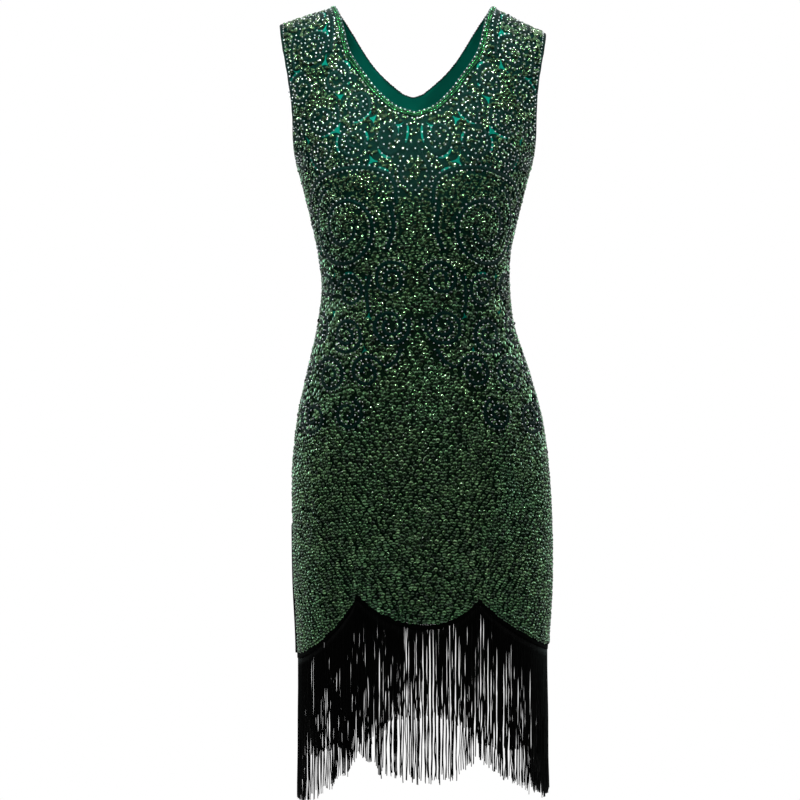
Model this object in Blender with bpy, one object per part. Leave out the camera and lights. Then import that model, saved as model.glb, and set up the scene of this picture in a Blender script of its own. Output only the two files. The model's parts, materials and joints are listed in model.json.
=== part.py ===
"""A sleeveless sequined flapper dress, filled out as it is worn, with nobody in it.

Metres, +Z up, the front faces -Y. The origin is between the shoulder seams, level with their
inner ends. Side -1 is the wearer's right (-X), side +1 is the wearer's left (+X).
Each piece is a thin wall: a sheet of points on the garment's outer form, extruded inwards.
"""
import math
from collections import namedtuple

import bmesh
import bpy
import numpy as np
from mathutils.bvhtree import BVHTree

FRONT, BACK = -1, 1                      # the sign of Y on each face

# Driving dimensions
NECK_HALF = 0.0985                       # centre line to the inner end of a shoulder seam
TIP_HALF = 0.169                         # centre line to its outer end
TIP_DROP = {-1: 0.023, 1: 0.0345}        # how far the outer end lies below the inner end
ARCH = {FRONT: 0.070, BACK: 0.060}       # height over which the cloth bends over the shoulder
NECK_POINT = {FRONT: -0.144, BACK: -0.1035}
UNDERARM = -0.200
HEM_START = -0.655                       # from here down the rows follow the scallops
HEM_CENTRE = -0.772                      # bottom of the lobe on the centre line
HEM_PEAK = {-1: -0.734, 1: -0.739}       # cusp between the centre lobe and a side lobe
HEM_SIDE = {-1: -0.816, 1: -0.806}       # bottom of a side lobe, at the side seam
PEAK_ANGLE = {-1: math.radians(32.6), 1: math.radians(22.8)}   # cusp, round the body from the centre line
LOBE_HALF = {"centre": 0.088, "side": 0.120}
FRINGE_REACH = 0.191                     # hem edge to the ends of the fringe on the centre line
FRINGE_END_SHARE = 0.85                  # its ends rise and fall by this share of the scallops
ROUNDNESS = 0.86                         # under 1: flatter in front, rounder at the sides

PANEL = 0.0016                           # sequined net
LINING = 0.0010
TAPE = 0.0020                            # woven heading of the fringe
TAPE_HEIGHT = 0.006
FRINGE = 0.0030
BAND = 0.0010                            # beaded tape at neck and armholes
NECK_BAND_WIDTH = 0.0075
ARM_BAND_WIDTH = 0.0048
VENT_WIDTH = 0.006
GAP = 0.0003                             # between neighbouring pieces
SNAP_HEIGHT = 0.006                      # a band is dropped onto its panel from here
LIFT = 0.0007                            # between a band and the panel under it

# The filled-out form by height: half width, depth of the front and of the back from the side
# seams, and how far the section is shifted and turned by the stance.
Form = namedtuple("Form", "z half front back shift turn")
FORM = (
    Form(0.000, 0.192, 0.074, 0.066, -0.002, 0.0),
    Form(-0.060, 0.182, 0.081, 0.075, -0.002, 0.0),
    Form(-0.100, 0.174, 0.091, 0.083, -0.002, 0.0),
    Form(-0.142, 0.166, 0.103, 0.089, -0.001, 0.0),
    Form(-0.180, 0.1545, 0.114, 0.091, -0.001, 0.0),
    Form(-0.200, 0.1475, 0.118, 0.091, -0.001, 0.0),
    Form(-0.240, 0.1365, 0.123, 0.089, -0.001, 0.0),
    Form(-0.279, 0.1270, 0.119, 0.085, -0.001, 0.0),
    Form(-0.310, 0.1205, 0.109, 0.080, -0.001, 0.0),
    Form(-0.355, 0.1175, 0.098, 0.074, 0.001, 0.0),
    Form(-0.400, 0.1225, 0.098, 0.080, 0.001, 0.5),
    Form(-0.460, 0.1388, 0.104, 0.095, 0.004, 1.5),
    Form(-0.520, 0.1530, 0.109, 0.108, 0.006, 2.5),
    Form(-0.583, 0.1605, 0.112, 0.113, 0.007, 3.0),
    Form(-0.650, 0.1625, 0.113, 0.110, 0.009, 3.0),
    Form(-0.720, 0.1628, 0.112, 0.106, 0.010, 3.0),
    Form(-0.811, 0.1585, 0.111, 0.103, 0.010, 3.0),
    Form(-0.880, 0.1582, 0.110, 0.102, 0.010, 3.0),
    Form(-1.010, 0.1570, 0.110, 0.102, 0.010, 3.0),
)

# Half width of the garment along the armhole edge, from the shoulder tip to the underarm.
Outline = namedtuple("Outline", "z half")
ARMHOLE = (
    Outline(-0.015, 0.1700),
    Outline(-0.041, 0.1670),
    Outline(-0.071, 0.1614),
    Outline(-0.101, 0.1563),
    Outline(-0.142, 0.1523),
    Outline(-0.172, 0.1515),
    Outline(-0.188, 0.1500),
    Outline(-0.200, 0.1475),
)
NECK = {
    FRONT: (
        Outline(0.000, 0.0985),
        Outline(-0.012, 0.0928),
        Outline(-0.034, 0.0868),
        Outline(-0.050, 0.0833),
        Outline(-0.0655, 0.0783),
        Outline(-0.0826, 0.0680),
        Outline(-0.0956, 0.0588),
        Outline(-0.1137, 0.0457),
        Outline(-0.1265, 0.0330),
        Outline(-0.1387, 0.0163),
        Outline(-0.1440, 0.0000),
    ),
    BACK: (
        Outline(0.000, 0.0985),
        Outline(-0.006, 0.0925),
        Outline(-0.026, 0.0775),
        Outline(-0.048, 0.0635),
        Outline(-0.0695, 0.0475),
        Outline(-0.0845, 0.0320),
        Outline(-0.0945, 0.0195),
        Outline(-0.1010, 0.0090),
        Outline(-0.1035, 0.0000),
    ),
}

# Rows of a panel from the end of the shoulder arch to the underarm: height at the neck edge or
# the centre line, and how far down the armhole edge the row ends, as a share of it.
YokeRow = namedtuple("YokeRow", "inner edge_share")
YOKE = {
    FRONT: (
        YokeRow(-0.092, 0.21),
        YokeRow(-0.1125, 0.41),
        YokeRow(-0.1265, 0.56),
        YokeRow(-0.1387, 0.67),
        YokeRow(-0.144, 0.75),
        YokeRow(-0.158, 0.86),
        YokeRow(-0.178, 0.95),
    ),
    BACK: (
        YokeRow(-0.0725, 0.16),
        YokeRow(-0.0865, 0.33),
        YokeRow(-0.0965, 0.48),
        YokeRow(-0.1035, 0.58),
        YokeRow(-0.128, 0.75),
        YokeRow(-0.153, 0.87),
        YokeRow(-0.178, 0.95),
    ),
}
ARCH_ROWS = 6
BODY_ROWS = (-0.200, -0.240, -0.275, -0.315, -0.355, -0.400, -0.450, -0.500, -0.550, -0.603, HEM_START)
HEM_SHARES = (0.30, 0.65, 1.0)           # rows between the last level row and the hem edge
LINING_HEM_ROWS = 1                      # the lining stops at the first of them
FRINGE_ROWS = 3
LOBE_COLUMNS = (3, 5)                    # columns from the centre to a cusp, and on to the seam

# A row runs from height inner to height edge, is drawn by share hem towards the scalloped
# edge, and then lies lower by drop.
Row = namedtuple("Row", "inner edge hem drop")
# A patch is a grid of points on the outer skin of a piece and the same grid on its inner skin.
Patch = namedtuple("Patch", "outer inner")


def smooth_curve(rows, column):
    """Return a smooth function of height through one column of a table."""
    z = np.array([row.z for row in rows])[::-1]
    values = np.array([getattr(row, column) for row in rows])[::-1]
    slopes = np.gradient(values, z)

    def value(height):
        height = np.clip(height, z[0], z[-1])
        i = np.clip(np.searchsorted(z, height) - 1, 0, len(z) - 2)
        step = z[i + 1] - z[i]
        t = (height - z[i]) / step
        return (values[i] * (1 + 2 * t) * (1 - t) ** 2 + slopes[i] * step * t * (1 - t) ** 2
                + values[i + 1] * t ** 2 * (3 - 2 * t) - slopes[i + 1] * step * t ** 2 * (1 - t))

    return value


half_at = smooth_curve(FORM, "half")
shift_at = smooth_curve(FORM, "shift")
turn_at = smooth_curve(FORM, "turn")
depth_at = {FRONT: smooth_curve(FORM, "front"), BACK: smooth_curve(FORM, "back")}
armhole_at = smooth_curve(ARMHOLE, "half")
neck_at = {face: smooth_curve(NECK[face], "half") for face in NECK}


def shoulder_height(x, side):
    """Height of the shoulder seam's line at distance x from the centre line."""
    return -TIP_DROP[side] * (x - NECK_HALF) / (TIP_HALF - NECK_HALF)


def scallop_height(angle, side):
    """Height of the hem edge at an angle round the body from the centre line."""
    cusp = PEAK_ANGLE[side]
    centre = angle <= cusp
    share = np.where(centre, angle / cusp, (math.pi / 2 - angle) / (math.pi / 2 - cusp))
    chord = np.where(centre, LOBE_HALF["centre"], LOBE_HALF["side"])
    bottom = np.where(centre, HEM_CENTRE, HEM_SIDE[side])
    rise = HEM_PEAK[side] - bottom
    radius = (chord ** 2 + rise ** 2) / (2 * rise)
    return bottom + radius - np.sqrt(radius ** 2 - (share * chord) ** 2)


def column_shares(side):
    """Shares of the way from the centre to the side, with one column on the cusp."""
    inner, outer = LOBE_COLUMNS
    cusp = PEAK_ANGLE[side] / (math.pi / 2)
    near = np.linspace(0, cusp, inner + 1)
    return np.concatenate([near, np.linspace(cusp, 1, outer + 1)[1:]])


def row_points(face, side, row):
    """Points of one row on the outer form, before the stance shifts and turns it."""
    inner_half = neck_at[face](row.inner) if row.inner > NECK_POINT[face] else 0.0
    edge_half = armhole_at(row.edge) if row.edge > UNDERARM else half_at(row.edge)
    start = math.asin(inner_half / half_at(row.inner))
    end = math.asin(min(1.0, edge_half / half_at(row.edge)))
    angle = start + (end - start) * column_shares(side)
    share = (np.sin(angle) - math.sin(start)) / (math.sin(end) - math.sin(start))
    x = inner_half + (edge_half - inner_half) * share
    z = row.inner + (row.edge - row.inner) * share
    if row.hem:
        z = z + (scallop_height(angle, side) - z) * row.hem - row.drop
        x = half_at(z) * np.sin(angle)
    flat = np.sqrt(np.clip(1 - (x / half_at(z)) ** 2, 0, 1))
    below = np.clip((shoulder_height(x, side) - z) / ARCH[face], 0, 1) if row.inner else 0.0
    y = face * depth_at[face](z) * flat ** ROUNDNESS * np.sqrt(1 - (1 - below) ** 2)
    return np.stack([side * x, y, z], axis=1)


def panel_rows(face, side):
    """Rows of a panel from the shoulder seam to the hem edge."""
    drop = [ARCH[face] * (1 - math.cos(math.pi / 2 * k / ARCH_ROWS)) for k in range(ARCH_ROWS + 1)]
    rows = [Row(-d, -TIP_DROP[side] - d, 0, 0) for d in drop]
    arch_end = -TIP_DROP[side] - ARCH[face]
    rows += [Row(y.inner, arch_end + (UNDERARM - arch_end) * y.edge_share, 0, 0) for y in YOKE[face]]
    rows += [Row(z, z, 0, 0) for z in BODY_ROWS]
    rows += [Row(HEM_START, HEM_START, share, 0) for share in HEM_SHARES]
    return rows


def row_grid(face, side, rows):
    """Points and outward normals of a grid with the given rows."""
    points = np.array([row_points(face, side, row) for row in rows])
    across = np.gradient(points, axis=1)
    down = np.gradient(points, axis=0)
    for k, row in enumerate(rows):
        if row.inner <= NECK_POINT[face]:
            across[k, 0] = (side, 0, 0)
        if row.edge <= UNDERARM:
            across[k, -1] = (0, -face, 0)
        if row.inner == 0:
            down[k] = (0, face, 0)
    normals = np.cross(across, down) * side * face
    return points, normals / np.linalg.norm(normals, axis=2, keepdims=True)


def stand(points, face=0):
    """Open the seams by half a gap on each face, then shift and turn each height by the stance."""
    x, y, z = np.moveaxis(points, -1, 0)
    y = y + face * GAP / 2
    turn = np.radians(turn_at(z))
    return np.stack([x * np.cos(turn) - y * np.sin(turn) + shift_at(z),
                     x * np.sin(turn) + y * np.cos(turn), z], axis=-1)


def wall_patches(face, rows_of, depth, thickness):
    """Two halves of a wall whose outer skin lies this depth inside the form."""
    patches = []
    for side in (-1, 1):
        points, normals = row_grid(face, side, rows_of(face, side))
        patches.append(Patch(stand(points - normals * depth, face),
                             stand(points - normals * (depth + thickness), face)))
    return patches


def lining_rows(face, side):
    left_out = len(HEM_SHARES) - LINING_HEM_ROWS
    return panel_rows(face, side)[:-left_out]


def tape_rows(face, side):
    return [Row(HEM_START, HEM_START, 1.0, drop) for drop in (GAP, GAP + TAPE_HEIGHT)]


def fringe_rows(face, side):
    top = 2 * GAP + TAPE_HEIGHT
    bottom = FRINGE_REACH + (HEM_START - HEM_CENTRE) * (1 - FRINGE_END_SHARE)
    shares = np.linspace(1, FRINGE_END_SHARE, FRINGE_ROWS + 1)
    drops = np.linspace(top, bottom, FRINGE_ROWS + 1)
    return [Row(HEM_START, HEM_START, share, drop) for share, drop in zip(shares, drops)]


def halve_steps(points):
    """Add a point halfway between each two neighbours."""
    dense = np.repeat(points, 2, axis=0)[:-1]
    dense[1::2] = (points[:-1] + points[1:]) / 2
    return dense


def snap(point, normal, panels):
    """Nearest point of the panels to a point held just above them."""
    hits = [panel.find_nearest(point + normal * SNAP_HEIGHT) for panel in panels]
    return np.array(min(hits, key=lambda hit: hit[3])[0])


def band_patch(edge, normals, along, inward, width, panels, face=0):
    """A band that lies on the panels, from their edge inwards."""
    sideways = np.cross(normals, along)
    sideways *= np.sign(np.sum(sideways * inward, axis=1, keepdims=True))
    sideways /= np.linalg.norm(sideways, axis=1, keepdims=True)
    strip = stand(np.stack([edge, edge + sideways * width]), face)
    strip = np.array([[snap(p, n, panels) for p, n in zip(line, normals)] for line in strip])
    return Patch(strip + normals * (LIFT + BAND), strip + normals * LIFT)


def neck_band(face, panels):
    """The neck tape of one face, from one shoulder seam down to the neck point and up again."""
    halves = []
    for side in (-1, 1):
        points, normals = row_grid(face, side, panel_rows(face, side))
        count = sum(row.inner >= NECK_POINT[face] for row in panel_rows(face, side))
        halves.append(np.stack([points[:count, 0], normals[:count, 0]]))
    edge, normals = (halve_steps(line) for line in np.concatenate([halves[0], halves[1][:, -2::-1]], axis=1))
    along = np.gradient(edge, axis=0)
    along[0], along[-1] = (0, face, 0), (0, -face, 0)
    inward = edge * (1, 0, 0) + (0, 0, -NECK_HALF)
    return [band_patch(edge, normals, along, inward, NECK_BAND_WIDTH, panels, face)]


def armhole_band(side, panels):
    """The closed ring of tape round one armhole."""
    halves = []
    for face in (FRONT, BACK):
        points, normals = row_grid(face, side, panel_rows(face, side))
        count = sum(row.edge >= UNDERARM for row in panel_rows(face, side))
        halves.append(np.stack([points[:count, -1], normals[:count, -1]]))
    edge, normals = (halve_steps(line) for line in np.concatenate([halves[0], halves[1][:, -2::-1]], axis=1))
    along = np.gradient(edge, axis=0)
    along[0] = along[-1] = (0, 1, 0)
    patch = band_patch(edge, normals, along, edge - edge.mean(axis=0), ARM_BAND_WIDTH, panels)
    return [Patch(*(np.concatenate([skin[:, :-1], skin[:, :1]], axis=1) for skin in patch))]


def vent_tape(side):
    """The tape that runs up the side seam from the hem corner."""
    rows = [row_points(FRONT, side, row)[-1] for row in panel_rows(FRONT, side)[-len(HEM_SHARES):]]
    skins = []
    for lift in (LIFT + BAND, LIFT):
        skins.append(stand(np.array([[(x + side * lift, y, z) for x, _, z in rows]
                                     for y in (-VENT_WIDTH / 2, VENT_WIDTH / 2)])))
    return [Patch(*skins)]


def add_grid(bm, patch_index, patch, layers):
    """Add one patch's outer skin and note on each point where it came from."""
    count, across = patch.outer.shape[:2]
    made = bmesh.ops.create_grid(bm, x_segments=across - 1, y_segments=count - 1, size=1.0)
    for vert in made["verts"]:
        place = (patch_index, round((vert.co.y + 1) / 2 * (count - 1)),
                 round((vert.co.x + 1) / 2 * (across - 1)))
        for layer, number in zip(layers, place):
            vert[layer] = number
        vert.co = patch.outer[place[1], place[2]]


def cloth(name, patches, colour, roughness, metallic=0.0):
    """Make one closed wall of the patches, welded where their edges meet."""
    bm = bmesh.new()
    layers = [bm.verts.layers.int.new(key) for key in ("patch", "row", "column")]
    for index, patch in enumerate(patches):
        add_grid(bm, index, patch, layers)
    bmesh.ops.remove_doubles(bm, verts=bm.verts, dist=1e-6)
    made = bmesh.ops.extrude_face_region(bm, geom=bm.faces[:])
    for vert in (item for item in made["geom"] if isinstance(item, bmesh.types.BMVert)):
        index, row, column = (vert[layer] for layer in layers)
        vert.co = patches[index].inner[row, column]
    bmesh.ops.recalc_face_normals(bm, faces=bm.faces)
    bmesh.ops.triangulate(bm, faces=bm.faces)
    for layer in layers:
        bm.verts.layers.int.remove(layer)
    mesh = bpy.data.meshes.new(name)
    bm.to_mesh(mesh)
    bm.free()
    mesh.materials.append(finish(name, colour, roughness, metallic))
    bpy.context.collection.objects.link(bpy.data.objects.new(name, mesh))
    return mesh


def skin_of(mesh):
    """A search tree over a panel's faces."""
    return BVHTree.FromPolygons([v.co[:] for v in mesh.vertices], [p.vertices[:] for p in mesh.polygons])


def finish(name, colour, roughness, metallic):
    material = bpy.data.materials.new(name)
    material.use_nodes = True
    shader = material.node_tree.nodes["Principled BSDF"]
    shader.inputs["Base Color"].default_value = (*colour, 1)
    shader.inputs["Roughness"].default_value = roughness
    shader.inputs["Metallic"].default_value = metallic
    return material


SEQUIN_GREEN = (0.016, 0.045, 0.020)
LINING_TEAL = (0.010, 0.150, 0.115)
BAND_TEAL = (0.012, 0.060, 0.052)
RAYON_BLACK = (0.004, 0.004, 0.004)


def main():
    for old in list(bpy.data.objects):
        bpy.data.objects.remove(old, do_unlink=True)
    skins = {}
    for face, word in ((FRONT, "front"), (BACK, "back")):
        lining = wall_patches(face, lining_rows, PANEL + GAP, LINING)
        panel = cloth(f"{word}_panel", wall_patches(face, panel_rows, 0, PANEL), SEQUIN_GREEN, 0.3, 0.5)
        skins[face] = skin_of(panel)
        cloth(f"{word}_lining", lining, LINING_TEAL, 0.7)
        cloth(f"neck_band_{word}", neck_band(face, [skins[face]]), BAND_TEAL, 0.3, 0.4)
        cloth(f"hem_tape_{word}", wall_patches(face, tape_rows, 0, TAPE), RAYON_BLACK, 0.8)
        cloth(f"fringe_{word}", wall_patches(face, fringe_rows, 0, FRINGE), RAYON_BLACK, 0.5)
    cloth("armhole_band_left", armhole_band(1, skins.values()), BAND_TEAL, 0.4, 0.3)
    cloth("armhole_band_right", armhole_band(-1, skins.values()), BAND_TEAL, 0.4, 0.3)
    cloth("vent_tape", vent_tape(-1), RAYON_BLACK, 0.8)


main()
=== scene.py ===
import json
import math

import bmesh
import bpy
import numpy as np
from mathutils.kdtree import KDTree
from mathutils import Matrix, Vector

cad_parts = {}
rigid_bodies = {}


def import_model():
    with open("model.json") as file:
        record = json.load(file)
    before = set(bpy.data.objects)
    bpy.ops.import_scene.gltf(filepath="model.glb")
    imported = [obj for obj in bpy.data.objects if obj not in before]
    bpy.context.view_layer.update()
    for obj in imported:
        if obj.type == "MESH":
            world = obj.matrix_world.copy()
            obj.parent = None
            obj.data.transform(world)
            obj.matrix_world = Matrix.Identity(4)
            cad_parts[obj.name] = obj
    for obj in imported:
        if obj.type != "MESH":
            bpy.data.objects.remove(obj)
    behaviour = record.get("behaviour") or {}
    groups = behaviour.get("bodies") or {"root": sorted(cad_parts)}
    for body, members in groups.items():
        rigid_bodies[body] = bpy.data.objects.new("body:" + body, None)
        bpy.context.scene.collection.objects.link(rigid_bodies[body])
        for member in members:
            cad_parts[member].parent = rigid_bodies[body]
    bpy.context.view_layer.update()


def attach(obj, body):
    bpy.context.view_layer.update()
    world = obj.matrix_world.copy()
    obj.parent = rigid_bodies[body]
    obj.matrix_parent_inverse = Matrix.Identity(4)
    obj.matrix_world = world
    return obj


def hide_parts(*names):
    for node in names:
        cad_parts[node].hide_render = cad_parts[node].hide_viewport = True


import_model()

mm = 0.001
front, back = -1, 1                 # the sign of Y on each face of the dress
faceNames = {front: "Front", back: "Back"}
dice = np.random.default_rng(24)


# small helpers

def toLinear(hexColour):
    parts = [int(hexColour[i:i + 2], 16) / 255 for i in (1, 3, 5)]
    return tuple(p / 12.92 if p <= 0.04045 else ((p + 0.055) / 1.055) ** 2.4 for p in parts) + (1,)


def addNode(tree, kind, settings=None, links=None):
    node = tree.nodes.new(kind)
    for key, value in (settings or {}).items():
        if isinstance(key, int) or key in node.inputs:
            node.inputs[key].default_value = value
        else:
            setattr(node, key, value)
    for key, source in (links or {}).items():
        tree.links.new(source, node.inputs[key])
    return node


def addRamp(tree, source, stops):
    node = addNode(tree, "ShaderNodeValToRGB", links={0: source})
    ramp = node.color_ramp
    while len(ramp.elements) < len(stops):
        ramp.elements.new(0.5)
    for element, (place, colour) in zip(ramp.elements, stops):
        element.position = place
        element.color = toLinear(colour)
    return node.outputs["Color"]


def newMaterial(name, settings):
    material = bpy.data.materials.new(name)
    material.use_nodes = True
    shader = material.node_tree.nodes["Principled BSDF"]
    for key, value in settings.items():
        shader.inputs[key].default_value = value
    return material, material.node_tree, shader


def paint(tree, shader, value, stops):
    tree.links.new(addRamp(tree, value, stops), shader.inputs["Base Color"])


def newObject(name, data):
    made = bpy.data.objects.new(name, data)
    bpy.context.scene.collection.objects.link(made)
    return made


def smoothCurve(rows, column=1, scale=mm):
    # a smooth function of height through one column of a table that runs downwards
    table = np.array(rows, float)[::-1]
    heights, values = table[:, 0] * mm, table[:, column] * scale
    slopes = np.gradient(values, heights)

    def value(height):
        height = np.clip(height, heights[0], heights[-1])
        i = np.clip(np.searchsorted(heights, height) - 1, 0, len(heights) - 2)
        step = heights[i + 1] - heights[i]
        t = (height - heights[i]) / step
        return (values[i] * (1 + 2 * t) * (1 - t) ** 2 + slopes[i] * step * t * (1 - t) ** 2
                + values[i + 1] * t ** 2 * (3 - 2 * t) - slopes[i + 1] * step * t ** 2 * (1 - t))

    return value


def unit(vectors):
    return vectors / np.maximum(np.linalg.norm(vectors, axis=-1, keepdims=True), 1e-12)


def travelled(path):
    # how far along a line of points each of them is
    return np.concatenate([[0], np.cumsum(np.linalg.norm(np.diff(path, axis=0), axis=1))])


def evenly(path, step):
    length = travelled(path)
    places = np.linspace(0, length[-1], max(2, int(round(length[-1] / step)) + 1))
    return np.stack([np.interp(places, length, path[:, k]) for k in range(path.shape[1])], axis=1)


def sideways(path):
    ahead = unit(np.gradient(path, axis=0))
    return np.stack([-ahead[:, 1], ahead[:, 0]], axis=1)


# the filled-out form, in mm: height, half width, depth in front, depth behind, shift, turn in degrees
formRows = [
    (0, 192, 74, 66, -2, 0), (-60, 182, 81, 75, -2, 0), (-100, 174, 91, 83, -2, 0),
    (-142, 166, 103, 89, -1, 0), (-180, 154.5, 114, 91, -1, 0), (-200, 147.5, 118, 91, -1, 0),
    (-240, 136.5, 123, 89, -1, 0), (-279, 127, 119, 85, -1, 0), (-310, 120.5, 109, 80, -1, 0),
    (-355, 117.5, 98, 74, 1, 0), (-400, 122.5, 98, 80, 1, 0.5), (-460, 138.8, 104, 95, 4, 1.5),
    (-520, 153, 109, 108, 6, 2.5), (-583, 160.5, 112, 113, 7, 3), (-650, 162.5, 113, 110, 9, 3),
    (-720, 162.8, 112, 106, 10, 3), (-811, 158.5, 111, 103, 10, 3), (-880, 158.2, 110, 102, 10, 3),
    (-1010, 157, 110, 102, 10, 3)]
# half width of the garment along the armhole edge and along each neck edge, by height
armholeRows = [(-15, 170), (-41, 167), (-71, 161.4), (-101, 156.3), (-142, 152.3), (-172, 151.5),
               (-188, 150), (-200, 147.5)]
neckRows = {
    front: [(0, 98.5), (-12, 92.8), (-34, 86.8), (-50, 83.3), (-65.5, 78.3), (-82.6, 68), (-95.6, 58.8),
            (-113.7, 45.7), (-126.5, 33), (-138.7, 16.3), (-144, 0)],
    back: [(0, 98.5), (-6, 92.5), (-26, 77.5), (-48, 63.5), (-69.5, 47.5), (-84.5, 32), (-94.5, 19.5),
           (-101, 9), (-103.5, 0)]}
# rows from the shoulder arch to the underarm: height at the neck edge, share of the armhole edge
yokeRows = {
    front: [(-92, .21), (-112.5, .41), (-126.5, .56), (-138.7, .67), (-144, .75), (-158, .86), (-178, .95)],
    back: [(-72.5, .16), (-86.5, .33), (-96.5, .48), (-103.5, .58), (-128, .75), (-153, .87), (-178, .95)]}
# the cut: where it differs from side to side, -1 is the wearer's right and 1 the left
cut = {
    "neckHalf": 98.5 * mm, "tipHalf": 169 * mm, "tipDrop": {-1: 23 * mm, 1: 34.5 * mm},
    "arch": {front: 70 * mm, back: 60 * mm}, "neckPoint": {front: -144 * mm, back: -103.5 * mm},
    "underarm": -200 * mm, "hemStart": -655 * mm, "hemCentre": -772 * mm,
    "hemPeak": {-1: -734 * mm, 1: -739 * mm}, "hemSide": {-1: -816 * mm, 1: -806 * mm},
    "peakAngle": {-1: math.radians(32.6), 1: math.radians(22.8)},
    "centreLobe": 88 * mm, "sideLobe": 120 * mm, "roundness": 0.86, "seamGap": 0.3 * mm,
    "panel": 1.2 * mm, "liningDepth": 1.9 * mm, "lining": 0.9 * mm, "liningEnd": 0.30,
    "tape": 1.8 * mm, "tapeHeight": 6 * mm, "fringeReach": 191 * mm, "fringeEndShare": 0.85,
    "skirtWave": 0.7 * mm, "waveWidth": 23 * mm, "waveStart": -420 * mm, "waveFull": 150 * mm,
}

halfAt, shiftAt = smoothCurve(formRows), smoothCurve(formRows, 4)
depthAt = {front: smoothCurve(formRows, 2), back: smoothCurve(formRows, 3)}
turnAt = smoothCurve(formRows, 5, math.radians(1))
armholeAt = smoothCurve(armholeRows)
neckAt = {face: smoothCurve(rows) for face, rows in neckRows.items()}

# soft ridges (+) and troughs (-) of the hanging cloth, in mm: across, height, half length,
# half width, lean in degrees, rise
creases = {
    front: [
        (62, -395, 70, 11, 12, 1.5), (-58, -405, 82, 12, -9, 1.7), (20, -430, 60, 10, 4, -1.0),
        (118, -352, 42, 8, 68, 1.4), (-122, -346, 46, 9, -64, 1.6), (112, -384, 38, 8, 72, 1.1),
        (-116, -378, 34, 7, -70, -1.2), (88, -300, 45, 9, 40, 1.1), (-92, -296, 48, 9, -38, 1.3),
        (46, -585, 95, 15, 3, 1.8), (-70, -600, 88, 16, -4, 1.6), (-14, -640, 92, 13, 1, -1.4),
        (120, -640, 90, 17, 5, -1.6), (-150, -610, 96, 15, -3, 1.7), (168, -560, 80, 14, 4, 1.5),
        (118, -150, 36, 9, 28, 1.0), (-122, -146, 38, 9, -30, 1.1)],
    back: [
        (40, -392, 74, 12, -8, 1.8), (-44, -380, 66, 11, 9, 1.6), (96, -366, 40, 9, -66, 1.5),
        (-100, -372, 42, 8, 62, 1.4), (2, -330, 60, 12, 0, -1.3), (70, -590, 92, 16, -3, 1.7),
        (-62, -610, 96, 15, 4, 1.6), (6, -640, 90, 14, 0, -1.5), (140, -600, 86, 15, -4, 1.4),
        (-144, -570, 84, 15, 3, 1.5), (110, -190, 44, 10, -34, 1.2), (-106, -196, 42, 10, 32, 1.1)]}


def creaseRise(face, across, height):
    # the skirt falls in faint waves below the waist
    phase = across / cut["waveWidth"] + 2.1 * np.sin(height / (190 * mm)) + face
    rise = cut["skirtWave"] * np.sin(phase) * np.clip((cut["waveStart"] - height) / cut["waveFull"], 0, 1)
    for w, z, longHalf, wideHalf, lean, amount in creases[face]:
        u, v = across - w * mm, height - z * mm
        c, s = math.cos(math.radians(lean)), math.sin(math.radians(lean))
        rise = rise + amount * mm * np.exp(-((v * c + u * s) / (longHalf * mm)) ** 2
                                           - ((u * c - v * s) / (wideHalf * mm)) ** 2)
    return rise


def scallopHeight(angle, side):
    # height of the hem edge at an angle round the body from the centre line
    peak = cut["peakAngle"][side]
    centre = angle <= peak
    share = np.where(centre, angle / peak, (math.pi / 2 - angle) / (math.pi / 2 - peak))
    chord = np.where(centre, cut["centreLobe"], cut["sideLobe"])
    bottom = np.where(centre, cut["hemCentre"], cut["hemSide"][side])
    rise = cut["hemPeak"][side] - bottom
    radius = (chord ** 2 + rise ** 2) / (2 * rise)
    return bottom + radius - np.sqrt(radius ** 2 - (share * chord) ** 2)


def swayed(vectors, heights, shifted=True):
    # the stance turns and shifts each height of the skirt
    c, s = np.cos(turnAt(heights)), np.sin(turnAt(heights))
    x, y, z = np.moveaxis(vectors, -1, 0)
    return np.stack([x * c - y * s + (shiftAt(heights) if shifted else 0), x * s + y * c, z], axis=-1)


def levelLine(face, z):
    # a row of the panel that runs level from the centre line to the side seam
    return z, cut["arch"][face], 1.0, z - cut["underarm"]


def yokeLines(face):
    # what each row of a panel from the shoulder seam to the underarm is worked out from:
    # height at the neck, drop over the shoulder, share of the armhole edge, drop below the underarm
    arch = cut["arch"][face]
    lines = [(-d, d, 0.0, 0.0) for d in arch * (1 - np.cos(np.linspace(0, math.pi / 2, 40)))]
    lines += [(inner * mm, arch, share, 0.0) for inner, share in yokeRows[face]]
    return lines + [levelLine(face, cut["underarm"])]


def gridNormals(face, side, points, inner, edge):
    acrossWay = np.gradient(points, axis=1)
    downWay = np.gradient(points, axis=0)
    acrossWay[inner <= cut["neckPoint"][face], 0] = (side, 0, 0)
    acrossWay[edge <= cut["underarm"], -1] = (0, -face, 0)
    downWay[inner == 0] = (0, face, 0)
    return unit(np.cross(acrossWay, downWay) * side * face)


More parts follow.
